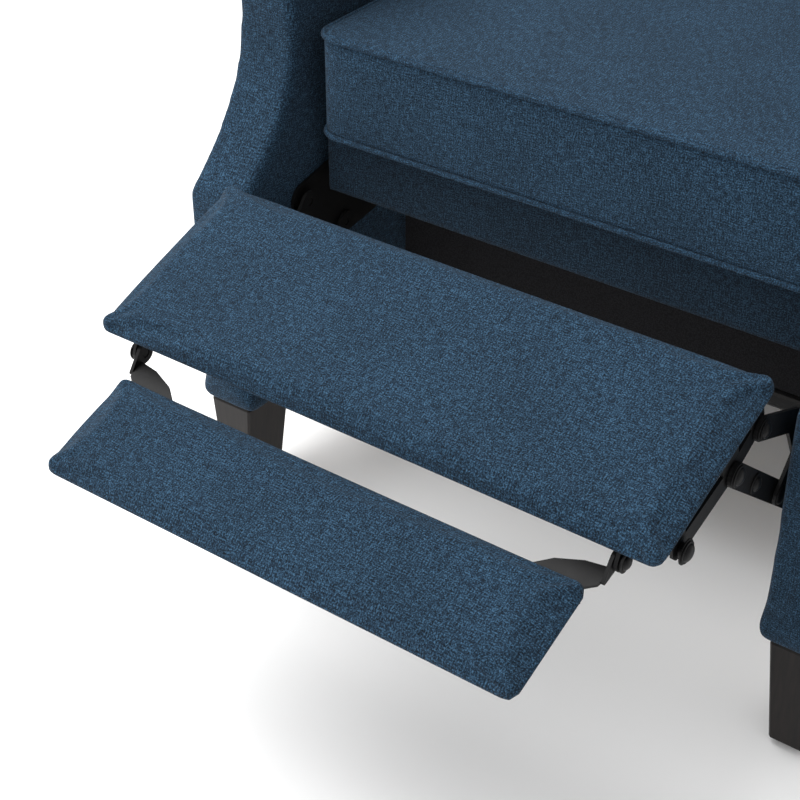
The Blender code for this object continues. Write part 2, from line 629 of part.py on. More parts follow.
def build_flipper(board, main_underside):
    underside = -FLIPPER_DROP - FLIPPER_THICKNESS
    pivot = Vector((FLIPPER_PIVOT_BACK - FOOTREST_LENGTH, underside + FLIPPER_PIVOT_RISE))
    joint = add_frame("flipper_pivot", board, pivot)
    half = FLIPPER_HALF_WIDTH
    back = -FOOTREST_LENGTH - FLIPPER_GAP - pivot.x
    front = back - FLIPPER_LENGTH
    bottom = -FLIPPER_PIVOT_RISE
    board_top = bottom + FLIPPER_BOARD_THICKNESS
    edge = BOARD_INSET
    add_box("flipper_board", (edge - half, front + edge, bottom),
            (half - edge, back - edge, board_top), joint, "plywood")
    pad = add_box("flipper_pad", (-half, front, board_top + GAP),
                  (half, back, bottom + FLIPPER_THICKNESS), joint, "upholstery")
    round_edges(pad, 0.0025, segments=2)
    for name, side in SIDES.items():
        build_flipper_bracket(joint, name, side, bottom - GAP, back, front)
        build_flipper_lug(board, name, side, pivot, main_underside)


def build_flipper_bracket(joint, name, side, top, back, front):
    """An ear on the pivot and a curved flange that runs forward under the flipper."""
    outer = FLIPPER_PLATE_X + LINK_THICKNESS
    middle = top - LINK_THICKNESS / 2
    origin = Vector((0.0, 0.0))
    ear_end = Vector((-2.2 * FLIPPER_EAR_RADIUS, middle))
    corners = [(origin, FLIPPER_EAR_RADIUS), (ear_end, LINK_THICKNESS / 2)]
    ear = add_plate(f"flipper_bracket_{name}", hull(corners), side * FLIPPER_PLATE_X,
                    side * outer, joint, "black_steel", [pivot_hole(origin)])
    inner = outer - FLIPPER_FLANGE_WIDTH
    clear = -RIVET_RADIUS - 5 * RIVET_CLEARANCE
    tail = Vector((back - 0.75 * FLIPPER_LENGTH, 0.0))
    notch = 0.55
    outline = [
        (outer, clear), (outer, 1.6 * clear), (outer - 0.004, back + 0.009),
        (outer - 0.014, back + 0.001), (outer - 0.016, back - 0.010), (outer - 0.020, tail.x),
        (inner, tail.x), (inner - 0.004, back - 0.012), (inner + 0.006, back + 0.001),
        (inner + 0.022, notch * back), (outer - 0.022, 1.5 * clear), (outer - 0.009, 1.2 * clear),
    ]
    flange = add_flat_plate(f"flipper_flange_{name}", [(side * x, y) for x, y in outline],
                            top - LINK_THICKNESS, top, joint)
    combine(ear, flange, "UNION")


def build_flipper_lug(board, name, side, pivot, top):
    """The main board's ear for the flipper's pivot, with a foot under the board."""
    reach = 0.010
    tip = RIVET_HEAD_THICKNESS
    corners = [(pivot, FLIPPER_EAR_RADIUS)]
    corners += [(Vector((pivot.x + y, top - tip - GAP)), tip) for y in (tip, 2 * reach)]
    lug = add_plate(f"flipper_lug_{name}", hull(corners), side * LUG_X,
                    side * (LUG_X + LINK_THICKNESS), board, "black_steel")
    xs = sorted((side * (LUG_X + LINK_THICKNESS / 2), side * (LUG_X + 1.4 * reach)))
    foot = add_box(f"lug_foot_{name}", (xs[0], pivot.x + tip, top - LINK_THICKNESS),
                   (xs[1], pivot.x + 2 * reach - GAP, top), board)
    combine(lug, foot, "UNION")
    head_x = LUG_X + LINK_THICKNESS
    cap = add_rod(f"lug_head_{name}", pivot, RIVET_HEAD_RADIUS, side * (head_x - LAYER_GAP),
                  side * (head_x + RIVET_HEAD_THICKNESS), board)
    combine(lug, cap, "UNION")
    add_rivet(lug, pivot, side, LUG_X, FLIPPER_PLATE_X + RIVET_SINK, head=False)


# Back
def build_back(base):
    back = add_frame("back_hinge_pivot", base, HINGE, -BACK_LEAN)
    post_front = POST_BEHIND_HINGE
    post_back = post_front + POST_DEPTH
    post_top = BACK_HEIGHT - 0.015
    inside = BACK_HALF_WIDTH - POST_WIDTH - GAP
    wing_low = (ARM_TOP_Z - HINGE.y) / math.cos(BACK_LEAN) + WING_ABOVE_ARM
    for name, side in SIDES.items():
        xs = sorted((side * (BACK_HALF_WIDTH - POST_WIDTH), side * BACK_HALF_WIDTH))
        add_box(f"back_post_{name}", (xs[0], post_front, -0.030), (xs[1], post_back, post_top),
                back, "plywood")
        centre = (post_front + post_back) / 2
        corners = [(Vector((0.0, 0.0)), 0.014), (Vector((centre, 0.02)), 0.014),
                   (Vector((centre, 0.20)), 0.014)]
        plate_x = BACK_HALF_WIDTH + GAP
        add_plate(f"back_hinge_{name}", hull(corners), side * plate_x,
                  side * (plate_x + LINK_THICKNESS), back, "black_steel",
                  [pivot_hole((0.0, 0.0))])
        corners = [((0.044, BACK_HEIGHT - 0.032), 0.030), ((-0.030, BACK_HEIGHT - 0.040), 0.038),
                   ((-0.125, BACK_HEIGHT - 0.190), 0.045), ((-0.100, wing_low + 0.030), 0.045),
                   ((0.044, wing_low), 0.030)]
        wing_x = BACK_HALF_WIDTH + GAP
        wing = add_plate(f"wing_{name}", hull([(Vector(c), r) for c, r in corners]),
                         side * wing_x, side * (wing_x + WING_THICKNESS), back, "upholstery")
        round_edges(wing, 0.012, segments=2, limit=60)
    for name, low in (("top", post_top - BACK_RAIL_HEIGHT), ("bottom", 0.0)):
        add_box(f"back_{name}_rail", (-inside, post_front, low),
                (inside, post_back, low + BACK_RAIL_HEIGHT), back, "plywood")
    strap_y = post_front - GAP - STRAP_THICKNESS
    for number, low in ((1, 0.28 * BACK_HEIGHT), (2, 0.60 * BACK_HEIGHT)):
        add_box(f"back_strap_{number}", (-BACK_HALF_WIDTH + 0.004, strap_y, low),
                (BACK_HALF_WIDTH - 0.004, post_front - GAP, low + STRAP_HEIGHT), back, "webbing")
    add_cushion("back_cushion", (-BACK_HALF_WIDTH, BACK_CUSHION_FRONT, BACK_CUSHION_START),
                (BACK_HALF_WIDTH, BACK_CUSHION_BACK, BACK_HEIGHT), back, "upholstery", (1, -1),
                BACK_CUSHION_CROWN, BACK_CUSHION_ROUNDING)
    add_box("back_outer_panel", (-BACK_HALF_WIDTH, post_back + GAP, -0.020),
            (BACK_HALF_WIDTH, post_back + GAP + OUTER_PANEL_THICKNESS, BACK_HEIGHT), back,
            "upholstery", rounding=0.005)


def centre_on_floor(root):
    """Move the chair so the origin is under the middle of its bounding box, on the floor."""
    bpy.context.view_layer.update()
    depsgraph = bpy.context.evaluated_depsgraph_get()
    corners = []
    for piece in chair.objects:
        if piece.type != "EMPTY":
            solid = piece.evaluated_get(depsgraph)
            shape = solid.to_mesh()
            corners += [solid.matrix_world @ vertex.co for vertex in shape.vertices]
            solid.to_mesh_clear()
    ys = [corner.y for corner in corners]
    root.location = (0.0, -(min(ys) + max(ys)) / 2, -min(corner.z for corner in corners))
    print("chair moved by", tuple(round(v, 5) for v in root.location))


LOOKS = {
    "upholstery": ((0.035, 0.050, 0.085), 0.9),
    "plywood": ((0.50, 0.36, 0.21), 0.6),
    "espresso_wood": ((0.020, 0.012, 0.009), 0.35),
    "black_steel": ((0.012, 0.012, 0.013), 0.4, 0.3),
    "spring_steel": ((0.35, 0.35, 0.36), 0.35, 1.0),
    "nylon": ((0.05, 0.05, 0.05), 0.5),
    "webbing": ((0.10, 0.10, 0.10), 0.9),
    "dust_cloth": ((0.010, 0.010, 0.011), 0.95),
}

for existing in list(bpy.data.objects):
    bpy.data.objects.remove(existing)
materials = {}
chair = make_collection("recliner_armchair")
cutters = make_collection("cutters")
chair_root = add_frame("chair_root")
build_arms(chair_root)
build_legs(chair_root)
build_cross_members(chair_root)
build_seat(chair_root)
build_fixed_plates(chair_root)
footrest_carrier = build_links(chair_root)
build_footrest(footrest_carrier)
build_back(chair_root)
centre_on_floor(chair_root)
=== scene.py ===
import json
import math

import bmesh
import bpy
from mathutils import Matrix, Vector, noise


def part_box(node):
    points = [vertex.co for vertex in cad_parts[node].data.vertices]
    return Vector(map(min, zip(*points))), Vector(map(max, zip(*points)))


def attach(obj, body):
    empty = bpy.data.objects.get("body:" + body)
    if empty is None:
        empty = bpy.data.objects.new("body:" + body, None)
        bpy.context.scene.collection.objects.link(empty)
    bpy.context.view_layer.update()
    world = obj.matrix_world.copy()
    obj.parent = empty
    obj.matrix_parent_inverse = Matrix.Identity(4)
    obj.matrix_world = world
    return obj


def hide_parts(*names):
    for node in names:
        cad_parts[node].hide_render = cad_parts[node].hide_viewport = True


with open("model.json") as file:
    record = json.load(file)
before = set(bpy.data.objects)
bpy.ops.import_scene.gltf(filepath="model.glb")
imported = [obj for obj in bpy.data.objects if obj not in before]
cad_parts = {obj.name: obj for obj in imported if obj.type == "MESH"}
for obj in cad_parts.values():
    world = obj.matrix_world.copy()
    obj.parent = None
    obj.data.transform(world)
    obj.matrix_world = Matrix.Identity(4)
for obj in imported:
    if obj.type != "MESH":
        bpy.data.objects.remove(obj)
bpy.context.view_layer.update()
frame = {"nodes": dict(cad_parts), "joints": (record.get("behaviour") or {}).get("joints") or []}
nodes = frame["nodes"]
scene = bpy.context.scene
pivots = {joint["name"]: Vector(joint["pos_m"]) for joint in frame["joints"]}
sides = {"left": -1, "right": 1}
footTilt = math.radians(18)     # both footrest boards slope down to the front
backTilt = math.radians(-22)    # the back leans away from upright


def pick(piece):
    bpy.ops.object.select_all(action="DESELECT")
    piece.select_set(True)
    bpy.context.view_layer.objects.active = piece


def applyAll(piece):
    pick(piece)
    for modifier in list(piece.modifiers):
        bpy.ops.object.modifier_apply(modifier=modifier.name)


def localBox(names, turn=0.0):
    # lowest and highest corner of some nodes, measured along axes turned about X
    back = Matrix.Rotation(-turn, 3, "X")
    points = [back @ v.co for name in names for v in nodes[name].data.vertices]
    low = Vector([min(p[a] for p in points) for a in range(3)])
    high = Vector([max(p[a] for p in points) for a in range(3)])
    return low, high


def turnIntoPlace(piece, turn):
    piece.data.transform(Matrix.Rotation(turn, 4, "X"))
    piece.data.update()


def addBlock(name, low, high):
    size = high - low
    bpy.ops.object.select_all(action="DESELECT")
    bpy.ops.mesh.primitive_cube_add(size=1, location=(low + high) / 2)
    piece = bpy.context.object
    piece.name = piece.data.name = name
    piece.scale = size
    bpy.ops.object.transform_apply(location=True, scale=True)
    return piece


def selectEdges(piece, wanted):
    # wanted says yes or no to an edge from its middle and its direction
    shape = bmesh.from_edit_mesh(piece.data)
    bpy.ops.mesh.select_mode(type="EDGE")
    bpy.ops.mesh.select_all(action="DESELECT")
    for edge in shape.edges:
        a, b = (v.co for v in edge.verts)
        edge.select_set(wanted((a + b) / 2, (b - a).normalized()))
    bmesh.update_edit_mesh(piece.data)


def bevelEdges(piece, wanted, width, segments):
    pick(piece)
    bpy.ops.object.mode_set(mode="EDIT")
    selectEdges(piece, wanted)
    bpy.ops.mesh.bevel(offset=width, segments=segments, affect="EDGES")
    bpy.ops.object.mode_set(mode="OBJECT")


def copyNode(nodeName, name):
    # a merged copy of a CAD solid, to be worked on
    piece = bpy.data.objects.new(name, nodes[nodeName].data.copy())
    scene.collection.objects.link(piece)
    piece.data.materials.clear()
    pick(piece)
    bpy.ops.object.mode_set(mode="EDIT")
    bpy.ops.mesh.select_all(action="SELECT")
    bpy.ops.mesh.remove_doubles(threshold=0.00002)
    bpy.ops.object.mode_set(mode="OBJECT")
    return piece


def mirrored(piece, name):
    twin = piece.copy()
    twin.data = piece.data.copy()
    twin.name = twin.data.name = name
    scene.collection.objects.link(twin)
    twin.data.transform(Matrix.Scale(-1, 4, (1, 0, 0)))
    twin.data.flip_normals()
    return twin


def smooth(piece, angle=35):
    pick(piece)
    bpy.ops.object.shade_smooth_by_angle(angle=math.radians(angle))


def clothMap(piece):
    # threads run along the piece's own width, so the map is a box projection in metres
    pick(piece)
    bpy.ops.object.mode_set(mode="EDIT")
    bpy.ops.mesh.select_all(action="SELECT")
    bpy.ops.uv.cube_project(cube_size=1.0, correct_aspect=False)
    bpy.ops.object.mode_set(mode="OBJECT")


def dress(piece, material):
    piece.data.materials.clear()
    piece.data.materials.append(material)


stuffing = {"pressure": 4.0, "frames": 20, "quality": 6, "weight": 0.3}


def stuff(piece, voxel, pinned, cap, pressure=None, hold=None):
    # remesh, let cloth pressure fill it, and keep the seams where they are sewn
    pick(piece)
    remesh = piece.modifiers.new("remesh", "REMESH")
    remesh.mode = "VOXEL"
    remesh.voxel_size = voxel
    bpy.ops.object.modifier_apply(modifier="remesh")
    rest = [v.co.copy() for v in piece.data.vertices]
    seam = piece.vertex_groups.new(name="seam")
    seam.add([i for i, co in enumerate(rest) if pinned(co)], 1.0, "REPLACE")
    cloth = piece.modifiers.new("cloth", "CLOTH")
    settings = cloth.settings
    settings.quality = stuffing["quality"]
    settings.mass = stuffing["weight"]
    settings.effector_weights.gravity = 0
    settings.use_pressure = True
    settings.uniform_pressure_force = pressure or stuffing["pressure"]
    settings.vertex_group_mass = "seam"
    cloth.point_cache.frame_start = 1
    cloth.point_cache.frame_end = stuffing["frames"]
    for number in range(1, stuffing["frames"] + 1):
        scene.frame_set(number)
    bpy.ops.object.modifier_apply(modifier="cloth")
    scene.frame_set(1)
    piece.vertex_groups.clear()
    for vertex, start in zip(piece.data.vertices, rest):
        move = vertex.co - start
        if move.length > cap:
            vertex.co = start + move * (cap / move.length)
    if hold:
        for vertex in piece.data.vertices:
            vertex.co = hold(vertex.co)
    finer = piece.modifiers.new("finer", "SUBSURF")
    finer.levels = finer.render_levels = 1
    applyAll(piece)
    smooth(piece, 180)
    clothMap(piece)
    return piece


def addWelt(name, low, high, corner, level, radius, turn, body, material):
    # a sewn cord round a cushion: a plane with rounded corners, kept as its outline
    middle = (low + high) / 2
    middle.z = level
    bpy.ops.object.select_all(action="DESELECT")
    bpy.ops.mesh.primitive_plane_add(size=1, location=middle)
    welt = bpy.context.object
    welt.name = welt.data.name = name
    welt.scale = (high.x - low.x, high.y - low.y, 1)
    bpy.ops.object.transform_apply(location=True, scale=True)
    bpy.ops.object.mode_set(mode="EDIT")
    bpy.ops.mesh.select_all(action="SELECT")
    bpy.ops.mesh.bevel(offset=corner, segments=6, affect="VERTICES")
    bpy.ops.mesh.select_all(action="SELECT")
    bpy.ops.mesh.delete(type="ONLY_FACE")
    bpy.ops.mesh.select_all(action="SELECT")
    bpy.ops.mesh.subdivide(number_cuts=5)
    bpy.ops.object.mode_set(mode="OBJECT")
    bpy.ops.object.convert(target="CURVE")
    welt.data.bevel_depth = radius
    welt.data.bevel_resolution = 2
    bpy.ops.object.convert(target="MESH")
    turnIntoPlace(welt, turn)
    smooth(welt, 80)
    clothMap(welt)
    dress(welt, material)
    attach(welt, body)
    return welt


def hexColor(text):
    channels = [int(text[i:i + 2], 16) / 255 for i in (1, 3, 5)]
    linear = [c / 12.92 if c <= 0.04045 else ((c + 0.055) / 1.055) ** 2.4 for c in channels]
    return (*linear, 1.0)


def addNode(tree, kind, values=None, links=None, **settings):
    node = tree.nodes.new(kind)
    for name, value in settings.items():
        setattr(node, name, value)
    for name, value in (values or {}).items():
        node.inputs[name].default_value = value
    for name, source in (links or {}).items():
        tree.links.new(source, node.inputs[name])
    return node


def newMaterial(name, **sockets):
    material = bpy.data.materials.new(name)
    material.use_nodes = True
    shader = material.node_tree.nodes["Principled BSDF"]
    for socket, value in sockets.items():
        shader.inputs[socket.replace("_", " ")].default_value = value
    return material, material.node_tree, shader


def setRamp(ramp, stops):
    band = ramp.color_ramp
    while len(band.elements) < len(stops):
        band.elements.new(0.5)
    for element, (place, color) in zip(band.elements, stops):
        element.position = place
        element.color = hexColor(color) if isinstance(color, str) else (color, color, color, 1)


clothLook = {
    "thread": 0.0012,      # metres between threads, drawn a little coarse so that it shows
    "slub": 0.009,         # length of a light or dark run along a thread
    "dark": "#070f16",
    "middle": "#182a3a",
    "light": "#385770",
    "shade": 0.10,         # how far large soft patches drift in brightness
    "relief": 0.0005,
}


def makeHeatheredCloth(name, shadeOf=1.0, space="UV"):
    # woven polyester linen-look cloth: mixed navy threads give a heathered, matt surface
    look = clothLook
    material, tree, shader = newMaterial(name, Roughness=0.92, Sheen_Weight=0.03,
                                         Sheen_Roughness=0.45, Specular_IOR_Level=0.15)
    place = addNode(tree, "ShaderNodeTexCoord").outputs[space]
    runs = {}
    for name, stretch in (("weft", (look["slub"], look["thread"])),
                          ("warp", (look["thread"], look["slub"]))):
        scaled = addNode(tree, "ShaderNodeMapping", {"Scale": (1 / stretch[0], 1 / stretch[1], 1 / look["thread"])},
                         {"Vector": place})
        if name == "warp":
            scaled.inputs["Location"].default_value = (31.7, 12.3, 5.0)
        runs[name] = addNode(tree, "ShaderNodeTexNoise",
                             {"Scale": 1.0, "Detail": 2.0, "Roughness": 0.7},
                             {"Vector": scaled.outputs[0]}).outputs["Fac"]
    over = addNode(tree, "ShaderNodeTexChecker",
                   {"Scale": 1 / look["thread"], "Color1": (1, 1, 1, 1), "Color2": (0, 0, 0, 1)},
                   {"Vector": place}).outputs["Fac"]
    tone = addNode(tree, "ShaderNodeMix", None,
                   {"Factor": over, "A": runs["weft"], "B": runs["warp"]}).outputs["Result"]
    grain = addNode(tree, "ShaderNodeTexNoise", {"Scale": 1 / 0.0013, "Detail": 1.0},
                    {"Vector": place}).outputs["Fac"]
    tone = addNode(tree, "ShaderNodeMix", {"Factor": 0.4}, {"A": tone, "B": grain}).outputs["Result"]
    ramp = addNode(tree, "ShaderNodeValToRGB", None, {"Fac": tone})
    setRamp(ramp, [(0.38, look["dark"]), (0.50, look["middle"]), (0.63, look["light"])])
    patches = addNode(tree, "ShaderNodeTexNoise", {"Scale": 14.0, "Detail": 3.0},
                      {"Vector": place}).outputs["Fac"]
    drift = addNode(tree, "ShaderNodeMapRange", {
        "From Min": 0.3, "From Max": 0.7, "To Min": shadeOf * (1 - look["shade"]),
        "To Max": shadeOf * (1 + look["shade"])},
        {"Value": patches})
    final = addNode(tree, "ShaderNodeHueSaturation", None,
                    {"Color": ramp.outputs["Color"], "Value": drift.outputs["Result"]})
    tree.links.new(final.outputs["Color"], shader.inputs["Base Color"])
    # each thread is a small hump that dips under the next one
    wave = []
    for direction in ("X", "Y"):
        wave.append(addNode(tree, "ShaderNodeTexWave",
                            {"Scale": 1 / look["thread"] / math.tau * 3.1416},
                            {"Vector": place}, bands_direction=direction).outputs["Fac"])
    hump = addNode(tree, "ShaderNodeMix", None,
                   {"Factor": over, "A": wave[1], "B": wave[0]}).outputs["Result"]
    height = addNode(tree, "ShaderNodeMix", {"Factor": 0.5}, {"A": hump, "B": tone})
    bump = addNode(tree, "ShaderNodeBump", {"Strength": 0.55, "Distance": look["relief"]},
                   {"Height": height.outputs["Result"]})
    tree.links.new(bump.outputs["Normal"], shader.inputs["Normal"])
    return material


def makeWood(name, dark, light, along, roughness, ring=0.004, coat=0.0):
    # noise drawn out along the grain; the coat is the lacquer on the show wood
    material, tree, shader = newMaterial(name, Roughness=roughness, Coat_Weight=coat,
                                         Coat_Roughness=0.25, Specular_IOR_Level=0.25)
    place = addNode(tree, "ShaderNodeTexCoord").outputs["Object"]
    scale = [1 / ring] * 3
    scale[along] = 1 / (ring * 22)
    scaled = addNode(tree, "ShaderNodeMapping", {"Scale": scale}, {"Vector": place})
    grain = addNode(tree, "ShaderNodeTexNoise", {"Scale": 1.0, "Detail": 5.0, "Distortion": 0.6},
                    {"Vector": scaled.outputs[0]})
    ramp = addNode(tree, "ShaderNodeValToRGB", None, {"Fac": grain.outputs["Fac"]})
    setRamp(ramp, [(0.35, dark), (0.65, light)])
    tree.links.new(ramp.outputs["Color"], shader.inputs["Base Color"])
    bump = addNode(tree, "ShaderNodeBump", {"Strength": 0.15, "Distance": 0.0003},
                   {"Height": grain.outputs["Fac"]})
    tree.links.new(bump.outputs["Normal"], shader.inputs["Normal"])
    return material


def makeCoatedSteel(name, base, worn, roughness, metallic=0.0):
    # powder coat: a fine orange peel, and grey scuffs where plates rub
    material, tree, shader = newMaterial(name, Metallic=metallic, Specular_IOR_Level=0.2)
    place = addNode(tree, "ShaderNodeTexCoord").outputs["Object"]
    scuffs = addNode(tree, "ShaderNodeTexNoise", {"Scale": 70.0, "Detail": 6.0, "Roughness": 0.7},
                     {"Vector": place}).outputs["Fac"]
    ramp = addNode(tree, "ShaderNodeValToRGB", None, {"Fac": scuffs})
    setRamp(ramp, [(0.60, base), (0.78, worn)])
    tree.links.new(ramp.outputs["Color"], shader.inputs["Base Color"])
    shine = addNode(tree, "ShaderNodeMapRange", {"To Min": roughness - 0.08, "To Max": roughness + 0.12},
                    {"Value": scuffs})
    tree.links.new(shine.outputs["Result"], shader.inputs["Roughness"])
    peel = addNode(tree, "ShaderNodeTexNoise", {"Scale": 900.0, "Detail": 1.0}, {"Vector": place})
    bump = addNode(tree, "ShaderNodeBump", {"Strength": 0.2, "Distance": 0.0001},
                   {"Height": peel.outputs["Fac"]})
    tree.links.new(bump.outputs["Normal"], shader.inputs["Normal"])
    return material


def makeFineCloth(name, base, light, spacing, roughness=0.9):
    # spun-bonded dust cloth or elastic webbing: a fine even grid
    material, tree, shader = newMaterial(name, Roughness=roughness, Specular_IOR_Level=0.2)
    place = addNode(tree, "ShaderNodeTexCoord").outputs["Object"]
    cells = addNode(tree, "ShaderNodeTexVoronoi", {"Scale": 1 / spacing}, {"Vector": place})
    ramp = addNode(tree, "ShaderNodeValToRGB", None, {"Fac": cells.outputs["Distance"]})
    setRamp(ramp, [(0.2, light), (0.7, base)])
    tree.links.new(ramp.outputs["Color"], shader.inputs["Base Color"])
    bump = addNode(tree, "ShaderNodeBump", {"Strength": 0.4, "Distance": 0.0003},
                   {"Height": cells.outputs["Distance"]})
    tree.links.new(bump.outputs["Normal"], shader.inputs["Normal"])
    return material


clothMaterial = makeHeatheredCloth("heatheredNavyPolyesterCloth")
# the deck is the seat cloth at half brightness: painted shade for the dark space under the seat cushion
deckMaterial = makeHeatheredCloth("shadeDarkenedDeckCloth", 0.5)
wrapMaterial = makeHeatheredCloth("heatheredNavyFrameWrap", 0.9, "Object")   # stapled over wood
espressoLacquer = makeWood("espressoLacqueredBeech", "#0c0908", "#1a1412", 2, 0.5, 0.003, 0.06)
pineAcross = makeWood("sandedPineAcross", "#b48a58", "#d7b585", 0, 0.65)
pineBack = makeWood("sandedPineLengthways", "#b48a58", "#d7b585", 1, 0.65)
blackSteel = makeCoatedSteel("blackPowderCoatedSteel", "#0a0a0b", "#1d1d1f", 0.5)
rivetSteel = makeCoatedSteel("blackenedRivetSteel", "#151516", "#3a3a3c", 0.36, 0.4)
springWire = makeCoatedSteel("drawnSpringWire", "#8c8c90", "#5e5a55", 0.34, 1.0)
nylonGlide = makeCoatedSteel("mouldedNylon", "#1a1a1b", "#262628", 0.5)
elasticWebbing = makeFineCloth("elasticWebbing", "#1d1d1f", "#3a3a3d", 0.002)
# black cloth; on the dust cover it also serves as painted shade for the dark space under the seat
dustCloth = makeFineCloth("blackDustCloth", "#0f0f11", "#1d1d20", 0.0015)
print("materials made")

bodyLooks = {
    "leg_": espressoLacquer, "glide_": nylonGlide, "base_stretcher": pineAcross,
    "seat_side_rail": wrapMaterial, "seat_front_rail": pineAcross, "seat_rear_rail": wrapMaterial,
    "seat_spring": springWire, "seat_hanger": blackSteel, "mechanism_plate": blackSteel,
    "front_link": blackSteel, "rear_link": blackSteel, "lower_link": blackSteel,
    "upper_link": blackSteel, "cross_tube": blackSteel, "footrest_bracket": blackSteel,
    "flipper_": blackSteel, "footrest_board": dustCloth, "back_post": wrapMaterial,
    "back_top_rail": wrapMaterial, "back_bottom_rail": wrapMaterial, "back_hinge": blackSteel,
    # the dust cover's black cloth is partly a real dust cloth and partly painted shade for the dark space under the
    # seat
    "back_strap": elasticWebbing, "arm_panel": pineBack, "dust_cover": dustCloth,
}
for nodeName, node in nodes.items():
    for start, material in bodyLooks.items():
        if nodeName.startswith(start):
            dress(node, material)
dress(nodes["flipper_board"], dustCloth)


def finishPad(piece, body, slotName, fill, *replaced):
    dress(piece, clothMaterial)
    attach(piece, body)
    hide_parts(*replaced)


armShape = {"voxel": 0.007, "cap": 0.006, "pressure": 3.0, "seam": 0.006}


def makeArm():
    low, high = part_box("arm_cover_right")
    middle = (low.x + high.x) / 2
    slotHalf = 0.012
    arm = copyNode("arm_cover_right", "armPad_right")
    bpy.ops.object.mode_set(mode="EDIT")
    bpy.ops.mesh.select_all(action="DESELECT")
    shape = bmesh.from_edit_mesh(arm.data)
    for vertex in shape.verts:
        vertex.select_set(abs(vertex.co.x - middle) < slotHalf)
    bmesh.update_edit_mesh(arm.data)
    bpy.ops.mesh.delete(type="VERT")
    bpy.ops.mesh.select_mode(type="EDGE")
    bpy.ops.mesh.select_non_manifold()
    bpy.ops.mesh.edge_face_add()
    bpy.ops.object.mode_set(mode="OBJECT")
    look = armShape
    edge = look["seam"]

    def sewn(co):
        return min(abs(co.x - low.x), abs(co.x - high.x)) < edge and co.z < low.z + edge

    stuff(arm, look["voxel"], sewn, look["cap"], look["pressure"],
          lambda co: Vector((max(co.x, low.x), co.y, max(co.z, low.z))))   # flat beside the links
    left = mirrored(arm, "armPad_left")
    finishPad(arm, "base", "upholstery", 0.8, "arm_cover_right")
    finishPad(left, "base", "upholstery", 0.8, "arm_cover_left")
    print("arms stuffed", len(arm.data.polygons))


makeArm()


seatShape = {"voxel": 0.006, "cap": 0.022, "corner": 0.024, "seam": 0.005, "welt": 0.0026,
             "seamInset": 0.010, "sideRoom": 0.2735}


def makeSeatCushion():
    look = seatShape
    low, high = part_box("seat_cushion")
    high.z -= 0.018                      # the CAD cushion's crown
    low.z += 0.004
    cushion = addBlock("seatCushion", low, high)
    bevelEdges(cushion, lambda m, d: abs(d.z) > 0.9, look["corner"], 4)

    def sewn(co):
        onLevel = min(abs(co.z - low.z), abs(co.z - high.z)) < look["seam"]
        inside = min(co.x - low.x, high.x - co.x, co.y - low.y, high.y - co.y)
        return onLevel and inside < look["seam"]

    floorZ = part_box("seat_deck")[1].z + 0.0003

    def hold(co):
        room = look["sideRoom"]
        return Vector((max(-room, min(room, co.x)), co.y, max(co.z, floorZ)))

    stuff(cushion, look["voxel"], sewn, look["cap"], 5.0, hold)
    finishPad(cushion, "base", "upholstery", 0.75, "seat_cushion")
    for name, level in (("seatWeltTop", high.z - 0.003), ("seatWeltBottom", low.z + 0.003)):
        addWelt(name, low, high, look["corner"], level, look["welt"], 0, "base", clothMaterial)
    print("seat cushion stuffed", len(cushion.data.polygons))


makeSeatCushion()


def makeDeck():
    # the cloth over the seat frame, drawn down over the front rail
    deck = copyNode("seat_deck", "deckCloth")
    stuff(deck, 0.0028, lambda co: True, 0.001)
    # half-bright cloth: painted shade under the seat cushion
    dress(deck, deckMaterial)
    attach(deck, "base")
    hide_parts("seat_deck")
    print("deck cloth laid", len(deck.data.polygons))


makeDeck()


boardShape = {"voxel": 0.0035, "cap": 0.005, "round": 0.005, "corner": 0.009, "pressure": 4.0,
              "sideFill": 0.0025, "endFill": 0.003}


def makeBoardPad(name, body, padNode, boardNode):
    look = boardShape
    low, high = localBox([padNode, boardNode], footTilt)
    spare = Vector((look["sideFill"], look["endFill"], 0))   # the padding fills the cover out here
    low -= spare
    high += spare
    pad = addBlock(name, low, high)
    bevelEdges(pad, lambda m, d: abs(d.z) > 0.9, look["corner"], 3)
    bevelEdges(pad, lambda m, d: abs(d.z) < 0.3 and m.z > high.z - 0.001, look["round"], 3)

    def stapled(co):
        return co.z < low.z + 0.004

    def hold(co):
        return Vector((co.x, co.y, max(co.z, low.z)))

    stuff(pad, look["voxel"], stapled, look["cap"], look["pressure"], hold)
    turnIntoPlace(pad, footTilt)
    finishPad(pad, body, "upholstery", 0.7, padNode)
    print(name, "stuffed", len(pad.data.polygons))


makeBoardPad("footrestPad", "footrest", "footrest_pad", "footrest_board")
makeBoardPad("flipperPad", "flipper", "flipper_pad", "flipper_board")


backShape = {"voxel": 0.0065, "cap": 0.024, "corner": 0.026, "seam": 0.006, "welt": 0.0026}


def makeBackCushion():
    look = backShape
    low, high = localBox(["back_cushion"], backTilt)
    low.y += 0.012
    cushion = addBlock("backCushion", low, high)
    bevelEdges(cushion, lambda m, d: abs(d.y) > 0.9, look["corner"], 4)

    def sewn(co):
        onLevel = min(abs(co.y - low.y), abs(co.y - high.y)) < look["seam"]
        inside = min(co.x - low.x, high.x - co.x, co.z - low.z, high.z - co.z)
        return onLevel and inside < look["seam"]

    def hold(co):
        side = high.x + 0.002
        return Vector((max(-side, min(side, co.x)), min(co.y, high.y), max(co.z, low.z - 0.002)))

    stuff(cushion, look["voxel"], sewn, look["cap"], 5.0, hold)
    turnIntoPlace(cushion, backTilt)
    finishPad(cushion, "backrest", "upholstery", 0.7, "back_cushion")
    print("back cushion stuffed", len(cushion.data.polygons))


makeBackCushion()


